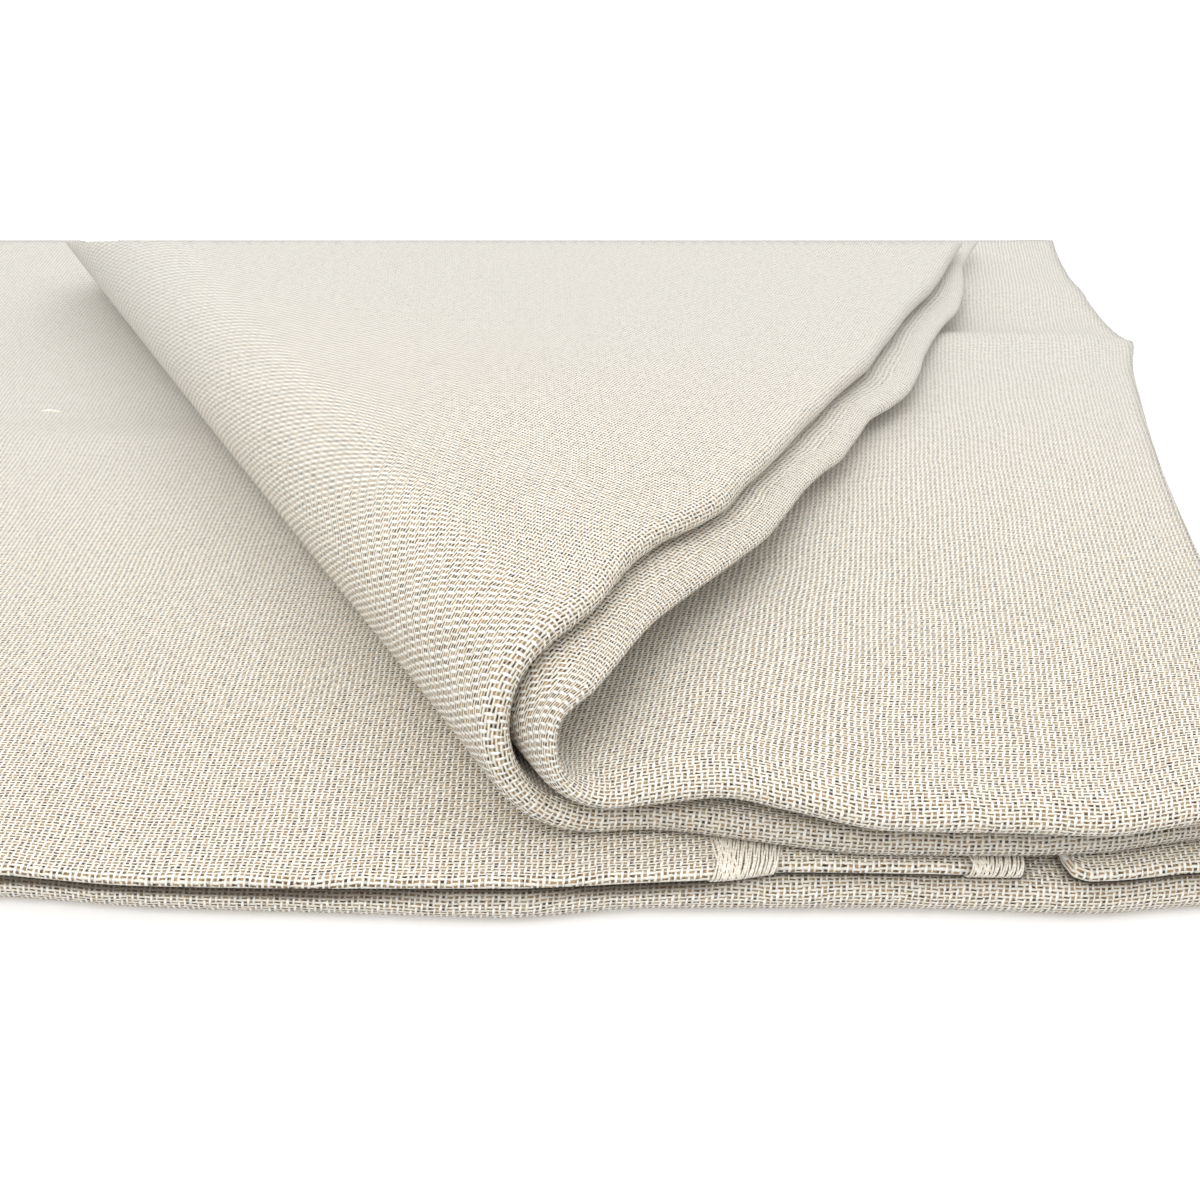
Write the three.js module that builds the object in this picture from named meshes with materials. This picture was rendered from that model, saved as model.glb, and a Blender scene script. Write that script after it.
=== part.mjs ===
// A cream cotton dust sheet, folded back and forth into a low stack, with one corner turned over.
// Millimetres, +X to the right, +Y away from the front folds, +Z up, resting on z = 0. The folds are
// worked out from a line near their fronts, and the origin lies ORIGIN_DEPTH behind it.
import * as THREE from 'three';

const CLOTH = 1.0; // thickness of the sheet
const HALF = CLOTH / 2;
const ORIGIN_DEPTH = 70;

// The two lower front folds, as the distance back from y = 0 of each fold's nose, from left to right.
const LOWER_FOLDS = [
  { x: -200, ground: 2.6, lip: 3.4 },
  { x: -100, ground: 3.2, lip: 3.0 },
  { x: -70, ground: 0.9, lip: 0.5 },
  { x: -40, ground: -0.2, lip: 0.0 },
  { x: -15, ground: -1.1, lip: 0.0 },
  { x: 8, ground: 0.8, lip: 1.2 },
  { x: 19, ground: 0.8, lip: 1.8 },
  { x: 29, ground: 0.8, lip: 3.2 },
  { x: 44, ground: 0.8, lip: 3.0 },
  { x: 63, ground: 0.2, lip: 2.6 },
  { x: 69, ground: -0.1, lip: 8.5 },
  { x: 75, ground: -0.3, lip: 1.8 },
  { x: 94, ground: 1.2, lip: 3.2 },
  { x: 140, ground: 3.0, lip: 5.0 },
];

// The two upper front folds, from left to right before the corner is turned: left of the turning line
// they become the two wavy edges of the turned corner.
const UPPER_FOLDS = [
  { x: -240, outer: -13.2, inner: -6.2 },
  { x: -230, outer: -13.6, inner: -8.8 },
  { x: -220, outer: -13.4, inner: -10.8 },
  { x: -210, outer: -12.2, inner: -11.8 },
  { x: -200, outer: -11.5, inner: -10.6 },
  { x: -190, outer: -11.5, inner: -10.3 },
  { x: -180, outer: -11.2, inner: -10.6 },
  { x: -170, outer: -11.3, inner: -11.8 },
  { x: -160, outer: -10.0, inner: -12.2 },
  { x: -150, outer: -8.9, inner: -10.5 },
  { x: -140, outer: -8.4, inner: -7.9 },
  { x: -130, outer: -7.8, inner: -8.0 },
  { x: -120, outer: -7.7, inner: -8.0 },
  { x: -110, outer: -7.5, inner: -6.3 },
  { x: -100, outer: -7.0, inner: -5.6 },
  { x: -90, outer: -7.2, inner: -5.8 },
  { x: -80, outer: -5.3, inner: -5.9 },
  { x: -70, outer: -1.9, inner: -4.6 },
  { x: -60, outer: -0.5, inner: -2.8 },
  { x: -50, outer: -0.6, inner: -0.6 },
  { x: -40, outer: 1.3, inner: 1.3 },
  { x: -30, outer: 4.3, inner: 1.8 },
  { x: -22, outer: 5.9, inner: 2.4 },
  { x: -15, outer: 6.8, inner: 5.4 },
  { x: 8, outer: 8.7, inner: 7.5 },
  { x: 19, outer: 7.3, inner: 8.9 },
  { x: 29, outer: 5.4, inner: 6.2 },
  { x: 44, outer: 3.6, inner: 2.1 },
  { x: 63, outer: 3.4, inner: 1.6 },
  { x: 75, outer: 3.8, inner: 1.1 },
  { x: 94, outer: 6.8, inner: 4.0 },
  { x: 140, outer: 9.5, inner: 7.0 },
];

// Middle of the cloth above the surface, at stations from front to back: the bed is the sheet seen at
// the left, the carrier lies under the turned corner, and the face is the sheet seen at the right.
const HEIGHTS = [
  { y: 0, bed: 8.9, carrier: 10.3, face: 11.8 },
  { y: 34, bed: 8.9, carrier: 10.3, face: 11.8 },
  { y: 80, bed: 6.6, carrier: 8.8, face: 9.6 },
  { y: 130, bed: 4.4, carrier: 7.4, face: 7.8 },
  { y: 180, bed: 2.8, carrier: 6.4, face: 6.8 },
  { y: 230, bed: 0.5, carrier: 5.8, face: 6.2 },
  { y: 275, bed: 0.5, carrier: 5.8, face: 6.2 },
];

// Right-hand edge of the upper sheet, at stations from front to back.
const RIGHT_EDGE = [
  { y: 0, x: 107 },
  { y: 81, x: 117.5 },
  { y: 114, x: 123 },
  { y: 155, x: 132.5 },
  { y: 178, x: 138.5 },
  { y: 200, x: 134.5 },
  { y: 224, x: 135.5 },
  { y: 243, x: 138 },
];

// Soft creases across the sheet: a row per crest or trough, fading over its width and past its ends.
const CREASES = [
  { on: 'face', y: 170, height: 2.4, width: 7, from: 60, to: 150 },
  { on: 'face', y: 187, height: -2.2, width: 10, from: 70, to: 150 },
  { on: 'face', y: 206, height: 1.2, width: 8, from: 90, to: 150 },
  { on: 'face', y: 10, height: -2.6, width: 45, from: -300, to: -12 },
  { on: 'bed', y: 139, height: 0.9, width: 7, from: -200, to: -105 },
  { on: 'bed', y: 152, height: -0.7, width: 9, from: -200, to: -110 },
];
const CREASE_FADE = 25;

// Leaves and folds along the sheet, from its end on the surface to its end on top.
const STRETCHES = [
  { leaf: 'ground', rows: 3 },
  { fold: 'ground', side: 'front', reach: 2.9, rows: 6 },
  { leaf: 'ledge', rows: 2 },
  { fold: 'ledgeTuck', side: 'back', reach: 0.9, rows: 4 },
  { leaf: 'underLip', rows: 2 },
  { fold: 'lip', side: 'front', reach: 0.9, rows: 4 },
  { leaf: 'bed', rows: 10 },
  { fold: 'rear', side: 'back', reach: 2.4, rows: 4 },
  { leaf: 'carrier', rows: 12 },
  { fold: 'outer', side: 'front', reach: 2.2, rows: 6 },
  { leaf: 'strip', rows: 3 },
  { fold: 'innerTuck', side: 'back', reach: 1.1, rows: 4 },
  { leaf: 'liner', rows: 3 },
  { fold: 'inner', side: 'front', reach: 5.5, rows: 7 },
  { leaf: 'face', rows: 12 },
];

// Flat leaves and hidden folds.
const GROUND_HEIGHT = HALF;
const GROUND_END = 136;
const LEDGE_HEIGHT = 6.2;
const UNDER_LIP_HEIGHT = 7.5;
const LEDGE_TUCK = 31;
const STRIP_OFFSET = 4.0;
const LINER_OFFSET = 6.2;
const INNER_TUCK = 33;
const REAR_FOLD = 238;
const FACE_FRONT_OFFSET = 11.8;
const TIGHTEST = 0.6;

// Cut edges: the left edge of the bed, the left end of the rear fold and the far cut, which leans.
const BED_LEFT = -200;
const MAIN_LEFT = -147;
const BED_CORNER = 20;
const LOWER_INSET = 4;
const FAR_CUT = 271.2;
const FAR_CUT_SLOPE = 2.44;

// The turned corner rolls up about a slanting line and comes down on the face.
const TURN = { x: 1.6, y: 10, direction: 122.3 };
const ROLL_RADIUS = 16;
const OUTER_SLIP = 12.5;
const INNER_SLIP = 7.5;
const SETTLE = 60;
const REST_GAP = 0.5;

// The right-hand edge of the upper sheet rounds down.
const EDGE_DROOP = 2.4;
const EDGE_ROUND = 16;

// Spacing of the points along a row, the steps round the roll, and the least gap beside a crease's rows.
const COLUMN_SPACING = 11;
const BED_SPACING = 17;
const ROLL_STEPS = 9;
const SLIVER = 1.5;
const ROW_GAP = 7;
const WIDE_CREASE = 20;

const smooth = (from, to, value) => THREE.MathUtils.smoothstep(value, from, to);
const mix = THREE.MathUtils.lerp;

// Value of a table's column at a position between its rows, with no overshoot.
function along(table, key, column, position) {
  const last = table.length - 1;
  let i = 0;
  while (i < last - 1 && position > table[i + 1][key]) {
    i += 1;
  }
  const slope = (a, b) => (table[b][column] - table[a][column]) / (table[b][key] - table[a][key]);
  const here = slope(i, i + 1);
  const before = i > 0 ? slope(i - 1, i) : here;
  const after = i < last - 1 ? slope(i + 1, i + 2) : here;
  const tangent = (a, b) => (a * b > 0 ? (2 * a * b) / (a + b) : 0);
  const span = table[i + 1][key] - table[i][key];
  const t = THREE.MathUtils.clamp((position - table[i][key]) / span, 0, 1);
  const m0 = tangent(before, here) * span;
  const m1 = tangent(here, after) * span;
  const start = table[i][column];
  const end = table[i + 1][column];
  return (2 * t ** 3 - 3 * t ** 2 + 1) * start + (t ** 3 - 2 * t ** 2 + t) * m0
    + (3 * t ** 2 - 2 * t ** 3) * end + (t ** 3 - t ** 2) * m1;
}

// Height that the creases of a leaf add at a place.
function creaseHeight(leaf, x, y) {
  return CREASES.filter((crease) => crease.on === leaf).reduce((sum, crease) => {
    const across = Math.exp(-(((y - crease.y) / crease.width) ** 2));
    const inFrom = smooth(crease.from - CREASE_FADE, crease.from, x);
    const outTo = 1 - smooth(crease.to, crease.to + CREASE_FADE, x);
    return sum + crease.height * across * inFrom * outTo;
  }, 0);
}

// How far the right-hand edge of the upper sheet droops at a place.
function edgeDroop(x, y) {
  const inside = along(RIGHT_EDGE, 'y', 'x', y) - x;
  return EDGE_DROOP * (1 - smooth(0, EDGE_ROUND, inside));
}

const bedHeight = (x, y) => along(HEIGHTS, 'y', 'bed', y) + creaseHeight('bed', x, y);
const carrierHeight = (x, y) => along(HEIGHTS, 'y', 'carrier', y);
const faceLevel = (y) => along(HEIGHTS, 'y', 'face', y);
const faceOffset = (x, y) => faceLevel(y) + creaseHeight('face', x, y) - edgeDroop(x, y);
const faceHeight = (x, y) => carrierHeight(x, y) + faceOffset(x, y);

const LEAF_HEIGHT = {
  ground: () => GROUND_HEIGHT,
  ledge: () => LEDGE_HEIGHT,
  underLip: () => UNDER_LIP_HEIGHT,
  bed: bedHeight,
  carrier: carrierHeight,
  strip: (x, y) => carrierHeight(x, y) + STRIP_OFFSET,
  liner: (x, y) => carrierHeight(x, y) + LINER_OFFSET,
  face: faceHeight,
};

// How far back a fold's nose lies at x.
function noseLine(fold, x) {
  if (fold === 'ledgeTuck') {
    return LEDGE_TUCK;
  }
  if (fold === 'innerTuck') {
    return INNER_TUCK;
  }
  if (fold === 'rear') {
    return REAR_FOLD;
  }
  return along(fold in LOWER_FOLDS[0] ? LOWER_FOLDS : UPPER_FOLDS, 'x', fold, x);
}

// How far a fold's nose stands out from its centre line at x: less where its leaves are close together,
// so that the cloth never bends round anything smaller than TIGHTEST.
function foldReach(index, x) {
  const { fold, side, reach } = STRETCHES[index];
  const y = noseLine(fold, x) + (side === 'front' ? reach : -reach);
  const low = LEAF_HEIGHT[STRETCHES[index - 1].leaf](x, y);
  const high = LEAF_HEIGHT[STRETCHES[index + 1].leaf](x, y);
  return Math.min(reach, ((high - low) / 2) ** 2 / TIGHTEST);
}

// How far back the centre line of a fold lies at x.
function foldCentre(index, x) {
  const nose = noseLine(STRETCHES[index].fold, x);
  const reach = foldReach(index, x);
  return STRETCHES[index].side === 'front' ? nose + reach : nose - reach;
}

// Far end of the leaves that end in a cut.
function cutLine(leaf, x) {
  if (leaf === 'ground') {
    return GROUND_END;
  }
  const height = faceHeight(x, REAR_FOLD) + HALF;
  return FAR_CUT - FAR_CUT_SLOPE * height;
}

// Point of a leaf or fold at share v of its length, before the corner is turned.
function lyingPoint(index, v, x) {
  const stretch = STRETCHES[index];
  if (stretch.leaf) {
    const start = index > 0 ? foldCentre(index - 1, x) : cutLine(stretch.leaf, x);
    let end = index < STRETCHES.length - 1 ? foldCentre(index + 1, x) : cutLine(stretch.leaf, x);
    if (stretch.leaf === 'bed') {
      const freeEnd = FAR_CUT - FAR_CUT_SLOPE * CLOTH;
      end = mix(freeEnd, end, smooth(MAIN_LEFT - BED_CORNER, MAIN_LEFT, x));
    }
    const y = mix(start, end, v);
    return { x, y, z: LEAF_HEIGHT[stretch.leaf](x, y) };
  }
  const centre = foldCentre(index, x);
  const low = LEAF_HEIGHT[STRETCHES[index - 1].leaf](x, centre);
  const high = LEAF_HEIGHT[STRETCHES[index + 1].leaf](x, centre);
  const angle = v * Math.PI;
  const reach = foldReach(index, x);
  const outward = stretch.side === 'front' ? -reach : reach;
  const y = centre + outward * Math.sin(angle);
  return { x, y, z: (low + high) / 2 - ((high - low) / 2) * Math.cos(angle) };
}

const TURN_ANGLE = THREE.MathUtils.degToRad(TURN.direction);
const ALONG = { x: Math.cos(TURN_ANGLE), y: Math.sin(TURN_ANGLE) };
const ACROSS = { x: -ALONG.y, y: ALONG.x };

// Place on the turning line: how far along it, and how far past it to the left.
function turnPlace(x, y) {
  const dx = x - TURN.x;
  const dy = y - TURN.y;
  return { along: dx * ALONG.x + dy * ALONG.y, past: dx * ACROSS.x + dy * ACROSS.y };
}

function planPoint(alongLine, pastLine) {
  return {
    x: TURN.x + alongLine * ALONG.x + pastLine * ACROSS.x,
    y: TURN.y + alongLine * ALONG.y + pastLine * ACROSS.y,
  };
}

// Length of cloth that a leaf spends on half a turn, over pi.
function slipRadius(index, v) {
  const stretch = STRETCHES[index];
  const name = stretch.leaf ?? stretch.fold;
  const share = { strip: v / 2, innerTuck: 0.5, liner: (1 + v) / 2, inner: 1, face: 1 }[name] ?? 0;
  return mix(OUTER_SLIP, INNER_SLIP, share);
}

// Rolls a point of the upper leaves up about the turning line and lays it down on the face; cover is the
// height of whatever lies on top there.
function turned(point, slip) {
  const place = turnPlace(point.x, point.y);
  if (place.past <= 0) {
    return { ...point, cover: point.z };
  }
  const offset = point.z - carrierHeight(point.x, point.y);
  const onLine = planPoint(place.along, 0);
  const base = carrierHeight(onLine.x, onLine.y);
  const angle = Math.min(place.past / slip, Math.PI);
  const radius = ROLL_RADIUS - offset;
  if (angle < Math.PI) {
    const plan = planPoint(place.along, radius * Math.sin(angle));
    const z = base + ROLL_RADIUS - radius * Math.cos(angle);
    return { ...plan, z, cover: z + (offset * (1 - Math.cos(angle))) / 2 };
  }
  const beyond = place.past - Math.PI * slip;
  const plan = planPoint(place.along, -beyond);
  const rest = carrierHeight(plan.x, plan.y) + faceLevel(plan.y) + CLOTH + REST_GAP + FACE_FRONT_OFFSET;
  const top = base + 2 * ROLL_RADIUS;
  const carrier = rest + (top - rest) * Math.exp(-((beyond / SETTLE) ** 2));
  const above = planPoint(place.along, beyond + Math.PI * OUTER_SLIP);
  const edge = noseLine('outer', above.x);
  const z = carrier - offset;
  return { ...plan, z, cover: mix(z, carrier, smooth(edge - 1, edge + 3, above.y)) };
}

const BED_INDEX = STRETCHES.findIndex((stretch) => stretch.leaf === 'bed');
const REAR_INDEX = BED_INDEX + 1;

function sheetPoint(index, v, x) {
  const point = lyingPoint(index, v, x);
  return index > REAR_INDEX ? turned(point, slipRadius(index, v)) : point;
}

// Left end of a row of the upper leaves: where the turned cloth reaches the far cut.
function leftEnd(index, v) {
  if (index <= REAR_INDEX) {
    return MAIN_LEFT;
  }
  const y = lyingPoint(index, v, 0).y;
  let inside = TURN.x + ((y - TURN.y) / ALONG.y) * ALONG.x;
  let outside = -320;
  for (let i = 0; i < 30; i += 1) {
    const x = (inside + outside) / 2;
    const point = sheetPoint(index, v, x);
    if (point.y > FAR_CUT - FAR_CUT_SLOPE * (point.cover + HALF)) {
      outside = x;
    } else {
      inside = x;
    }
  }
  return Math.max(inside, MAIN_LEFT - 1.2 * (REAR_FOLD - y));
}

// Evenly spaced values from one end to the other, the ends included.
function spread(from, to, spacing) {
  const count = Math.max(1, Math.ceil(Math.abs(to - from) / spacing));
  return Array.from({ length: count + 1 }, (unused, i) => mix(from, to, i / count));
}

// x of each point of a row, from left to right: a row of the upper leaves has steps round the roll.
function rowPlaces(index, v) {
  const y = lyingPoint(index, v, 0).y;
  const upper = index >= STRETCHES.length - 2;
  const right = along(RIGHT_EDGE, 'y', 'x', y) - (upper ? 0 : LOWER_INSET);
  const left = leftEnd(index, v);
  if (index <= REAR_INDEX) {
    const bedOnly = index <= BED_INDEX ? spread(BED_LEFT, left, BED_SPACING).slice(0, -1) : [];
    return [...bedOnly, ...spread(left, right, COLUMN_SPACING)];
  }
  const bend = TURN.x + ((y - TURN.y) / ALONG.y) * ALONG.x;
  const rolled = bend - (Math.PI * slipRadius(index, v)) / -ACROSS.x;
  const beyond = left < rolled - SLIVER ? spread(left, rolled, COLUMN_SPACING).slice(0, -1) : [];
  const around = Array.from({ length: ROLL_STEPS }, (unused, i) => mix(rolled, bend, i / ROLL_STEPS));
  const places = [...beyond, ...around, ...spread(bend, right, COLUMN_SPACING)];
  return [left, ...places.filter((x) => x > left + SLIVER)];
}

// Places along a row that pair it with its neighbour: turns past the turning line, then shares to the edge.
function rowKeys(index, v, places) {
  if (index < REAR_INDEX) {
    return places;
  }
  const y = lyingPoint(index, v, 0).y;
  const bend = TURN.x + ((y - TURN.y) / ALONG.y) * ALONG.x;
  const right = places[places.length - 1];
  const slip = slipRadius(index, v);
  return places.map((x) => (x > bend ? (x - bend) / (right - bend) : -turnPlace(x, y).past / slip));
}

// Shares of a stretch's length where its rows lie: evenly spaced, but on each crease of a leaf there is
// a row along its middle and one to either side.
function rowShares(index) {
  const stretch = STRETCHES[index];
  const even = Array.from({ length: stretch.rows + 1 }, (unused, i) => i / stretch.rows);
  const start = lyingPoint(index, 0, 0).y;
  const length = lyingPoint(index, 1, 0).y - start;
  const creases = CREASES.filter((crease) => crease.on === stretch.leaf && crease.width < WIDE_CREASE);
  const onCreases = creases.flatMap(({ y, width }) => [y - width, y, y + width]);
  const gap = ROW_GAP / Math.abs(length);
  const shares = onCreases.map((y) => (y - start) / length).sort((a, b) => a - b);
  const apart = shares.filter((share, i) => i === 0 || share - shares[i - 1] > gap / 2);
  const clear = (share) => apart.every((other) => Math.abs(other - share) > gap);
  const kept = even.filter((share) => share % 1 === 0 || clear(share));
  return [...kept, ...apart].sort((a, b) => a - b);
}

// Rows of points on the middle of the cloth; joinFrom is where the next row's left end joins a row.
function middleRows() {
  const rows = [];
  STRETCHES.forEach((stretch, index) => {
    rowShares(index).slice(index === 0 ? 0 : 1).forEach((v) => {
      const places = rowPlaces(index, v);
      const points = places.map((x) => {
        const point = sheetPoint(index, v, x);
        return new THREE.Vector3(point.x, point.y, point.z);
      });
      const joinFrom = index === BED_INDEX && v === 1 ? places.indexOf(MAIN_LEFT) : 0;
      rows.push({ points, places, keys: rowKeys(index, v, places), joinFrom });
    });
  });
  return rows;
}

// Triangles between two rows, stepping along whichever row is behind.
function strip(before, after, firstBefore, firstAfter) {
  const triangles = [];
  const sameKind = before.keys !== before.places || after.keys === after.places;
  const beforeKeys = sameKind ? before.keys : before.places;
  const afterKeys = sameKind ? after.keys : after.places;
  let i = before.joinFrom;
  let j = 0;
  while (i < beforeKeys.length - 1 || j < afterKeys.length - 1) {
    const nextBefore = beforeKeys[i + 1] ?? Infinity;
    const nextAfter = afterKeys[j + 1] ?? Infinity;
    if (nextBefore < nextAfter || nextAfter === Infinity) {
      triangles.push([firstBefore + i, firstBefore + i + 1, firstAfter + j]);
      i += 1;
    } else {
      triangles.push([firstBefore + i, firstAfter + j + 1, firstAfter + j]);
      j += 1;
    }
  }
  return triangles;
}

// Closed mesh of the cloth: its two faces, half its thickness either side of the middle, and its edges.
function sheetGeometry(rows) {
  const points = rows.flatMap((row) => row.points);
  const triangles = [];
  let first = 0;
  for (let r = 0; r < rows.length - 1; r += 1) {
    const next = first + rows[r].points.length;
    triangles.push(...strip(rows[r], rows[r + 1], first, next));
    first = next;
  }
  const middle = new THREE.BufferGeometry().setFromPoints(points);
  middle.setIndex(triangles.flat());
  middle.computeVertexNormals();
  const normals = middle.getAttribute('normal');
  const normal = new THREE.Vector3();
  const positions = points.flatMap((point, i) => {
    normal.fromBufferAttribute(normals, i);
    const upper = point.clone().addScaledVector(normal, HALF);
    const lower = point.clone().addScaledVector(normal, -HALF);
    return [...upper.toArray(), ...lower.toArray()];
  });
  const edges = new Map();
  triangles.forEach(([a, b, c]) => {
    [[a, b], [b, c], [c, a]].forEach(([from, to]) => edges.set(`${from},${to}`, [from, to]));
  });
  const faces = triangles.flatMap(([a, b, c]) => {
    const [i, j, k] = [2 * a, 2 * b, 2 * c];
    return [i, j, k, i + 1, k + 1, j + 1];
  });
  edges.forEach(([from, to]) => {
    if (!edges.has(`${to},${from}`)) {
      faces.push(2 * to, 2 * from, 2 * from + 1, 2 * to, 2 * from + 1, 2 * to + 1);
    }
  });
  const geometry = new THREE.BufferGeometry();
  geometry.setAttribute('position', new THREE.Float32BufferAttribute(positions, 3));
  geometry.setIndex(faces);
  geometry.computeVertexNormals();
  return geometry;
}

const cotton = new THREE.MeshStandardMaterial({ color: 0xddd6c6, roughness: 0.95, metalness: 0 });
const sheet = new THREE.Mesh(sheetGeometry(middleRows()), cotton);
sheet.name = 'dust_sheet';
sheet.position.y = -ORIGIN_DEPTH;

const dustSheet = new THREE.Group();
dustSheet.add(sheet);
export default dustSheet;
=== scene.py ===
"""Cream cotton dust sheet, folded back and forth with one corner turned over, for Blender 4.5."""

import logging
import math
from dataclasses import dataclass, field
from enum import Enum

import bpy
import numpy as np
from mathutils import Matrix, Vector

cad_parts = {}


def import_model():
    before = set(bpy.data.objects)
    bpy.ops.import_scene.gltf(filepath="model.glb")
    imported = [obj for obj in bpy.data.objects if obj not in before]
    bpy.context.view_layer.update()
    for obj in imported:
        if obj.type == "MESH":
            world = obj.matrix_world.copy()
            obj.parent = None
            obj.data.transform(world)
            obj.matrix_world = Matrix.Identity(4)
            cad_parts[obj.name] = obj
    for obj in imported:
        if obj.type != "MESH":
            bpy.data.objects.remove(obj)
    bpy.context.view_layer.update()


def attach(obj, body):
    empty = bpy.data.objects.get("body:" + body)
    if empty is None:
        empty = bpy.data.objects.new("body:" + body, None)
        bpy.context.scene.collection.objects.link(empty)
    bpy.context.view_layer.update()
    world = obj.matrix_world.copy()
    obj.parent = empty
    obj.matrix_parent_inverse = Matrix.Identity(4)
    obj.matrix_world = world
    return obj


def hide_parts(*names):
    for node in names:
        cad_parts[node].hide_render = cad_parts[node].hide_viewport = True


LOG = logging.getLogger("dust_sheet")
MM = 0.001
ORIGIN_DEPTH = 70.0
CLOTH_THICKNESS = 0.8


class Side(Enum):
    """Which way a fold's nose points along the depth of the stack."""

    FRONT = -1
    BACK = 1


class Leaf(Enum):
    """The leaves of the folded sheet, from its end on the surface to its end on top."""

    GROUND = "ground"
    LEDGE = "ledge"
    UNDER_LIP = "under lip"
    BED = "bed"
    CARRIER = "carrier"
    STRIP = "strip"
    LINER = "liner"
    FACE = "face"


class Fold(Enum):
    """The folds between the leaves, in the order in which the sheet passes them."""

    GROUND = "ground fold"
    LEDGE_TUCK = "ledge tuck"
    LIP = "lip"
    REAR = "rear fold"
    OUTER = "outer fold"
    INNER_TUCK = "inner tuck"
    INNER = "inner fold"


@dataclass(frozen=True)
class LowerStation:
    """How far back the two lower front folds' noses lie at one place, in millimetres."""

    x: float
    ground: float
    lip: float


@dataclass(frozen=True)
class UpperStation:
    """How far back the upper two front folds' noses lie at one place before the turn."""

    x: float
    outer: float
    inner: float


@dataclass(frozen=True)
class HeightStation:
    """Height of the cloth's middle at one depth; the face's is above the carrier."""

    y: float
    bed: float
    carrier: float
    face: float


@dataclass(frozen=True)
class EdgeStation:
    """Place of the upper sheet's right-hand edge at one depth."""

    y: float
    x: float


@dataclass(frozen=True)
class Crease:
    """A soft crest or trough across a leaf, in millimetres."""

    leaf: Leaf
    y: float
    height: float
    width: float
    start: float
    end: float


@dataclass(frozen=True)
class Stretch:
    """One leaf or fold of the sheet, with the spacing of its rows along the sheet."""

    part: Leaf | Fold
    spacing: float
    side: Side = Side.FRONT
    reach: float = 0.0


def smooth(start: float, end: float, value: np.ndarray) -> np.ndarray:
    """Eases from 0 to 1 between two values.

    Args:
        start: Value where the result leaves 0.
        end: Value where the result reaches 1.
        value: Where to evaluate it.

    Returns:
        The eased share.
    """
    t = np.clip((np.asarray(value, float) - start) / (end - start), 0.0, 1.0)
    return t * t * (3.0 - 2.0 * t)


def mix(start: np.ndarray, end: np.ndarray, share: np.ndarray) -> np.ndarray:
    """Value at a share of the way from start to end."""
    return start + (end - start) * share


def along(table: tuple, key: str, column: str, position: np.ndarray) -> np.ndarray:
    """Reads a table's column between its rows, smoothly and with no overshoot.

    Args:
        table: Rows in rising order of the key.
        key: Name of the field that the rows are placed by.
        column: Name of the field to read.
        position: Where to read it.

    Returns:
        The column's value at each position.
    """
    at = np.array([getattr(row, key) for row in table], float)
    value = np.array([getattr(row, column) for row in table], float)
    span = np.diff(at)
    slope = np.diff(value) / span
    product = slope[:-1] * slope[1:]
    total = slope[:-1] + slope[1:]
    inner = np.where(product > 0, 2 * product / np.where(product > 0, total, 1.0), 0.0)
    tangent = np.concatenate([slope[:1], inner, slope[-1:]])
    position = np.asarray(position, float)
    i = np.clip(np.searchsorted(at, position, side="right") - 1, 0, len(span) - 1)
    t = np.clip((position - at[i]) / span[i], 0.0, 1.0)
    m0 = tangent[i] * span[i]
    m1 = tangent[i + 1] * span[i]
    rise = 3 * t**2 - 2 * t**3
    leaving = (1 - rise) * value[i] + (t**3 - 2 * t**2 + t) * m0
    return leaving + rise * value[i + 1] + (t**3 - t**2) * m1


LOWER_FOLDS = (
    LowerStation(-200, 2.6, 3.4),
    LowerStation(-100, 3.2, 3.0),
    LowerStation(-70, 0.9, 0.5),
    LowerStation(-40, -0.2, 0.0),
    LowerStation(-15, -1.1, 0.0),
    LowerStation(8, 0.8, 1.2),
    LowerStation(19, 0.8, 1.8),
    LowerStation(29, 0.8, 3.2),
    LowerStation(44, 0.8, 3.0),
    LowerStation(65.4, 0.1, 2.6),
    LowerStation(66.8, 0.0, 11.0),
    LowerStation(71.2, -0.2, 12.0),
    LowerStation(73.4, -0.3, 2.4),
    LowerStation(76, -0.3, 1.4),
    LowerStation(94, 1.2, 3.2),
    LowerStation(140, 3.0, 5.0),
)

UPPER_FOLDS = (
    UpperStation(-240, -13.2, -6.2),
    UpperStation(-230, -13.6, -8.8),
    UpperStation(-220, -13.4, -10.8),
    UpperStation(-210, -12.2, -11.8),
    UpperStation(-200, -11.5, -10.6),
    UpperStation(-190, -11.5, -10.3),
    UpperStation(-180, -11.2, -10.6),
    UpperStation(-170, -11.3, -11.8),
    UpperStation(-160, -10.0, -12.2),
    UpperStation(-150, -8.9, -10.5),
    UpperStation(-140, -8.4, -7.9),
    UpperStation(-130, -7.8, -8.0),
    UpperStation(-120, -7.7, -8.0),
    UpperStation(-110, -7.5, -6.3),
    UpperStation(-100, -7.0, -5.6),
    UpperStation(-90, -7.2, -5.8),
    UpperStation(-80, -5.3, -5.9),
    UpperStation(-70, -1.9, -4.6),
    UpperStation(-60, -0.5, -2.8),
    UpperStation(-50, -0.6, -0.6),
    UpperStation(-40, 1.3, 1.3),
    UpperStation(-30, 4.3, 1.8),
    UpperStation(-22, 5.9, 2.4),
    UpperStation(-15, 6.8, 5.4),
    UpperStation(8, 8.7, 7.5),
    UpperStation(19, 7.3, 8.9),
    UpperStation(29, 5.4, 6.2),
    UpperStation(44, 3.6, 2.1),
    UpperStation(63, 3.4, 1.6),
    UpperStation(75, 3.8, 1.1),
    UpperStation(94, 6.8, 4.0),
    UpperStation(140, 9.5, 7.0),
)

HEIGHTS = (
    HeightStation(0, 8.9, 10.3, 11.8),
    HeightStation(34, 8.9, 10.3, 11.8),
    HeightStation(80, 6.6, 8.8, 9.6),
    HeightStation(130, 4.4, 7.4, 7.8),
    HeightStation(180, 2.8, 6.4, 6.8),
    HeightStation(230, 0.5, 5.8, 6.2),
    HeightStation(275, 0.5, 5.8, 6.2),
)

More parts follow.
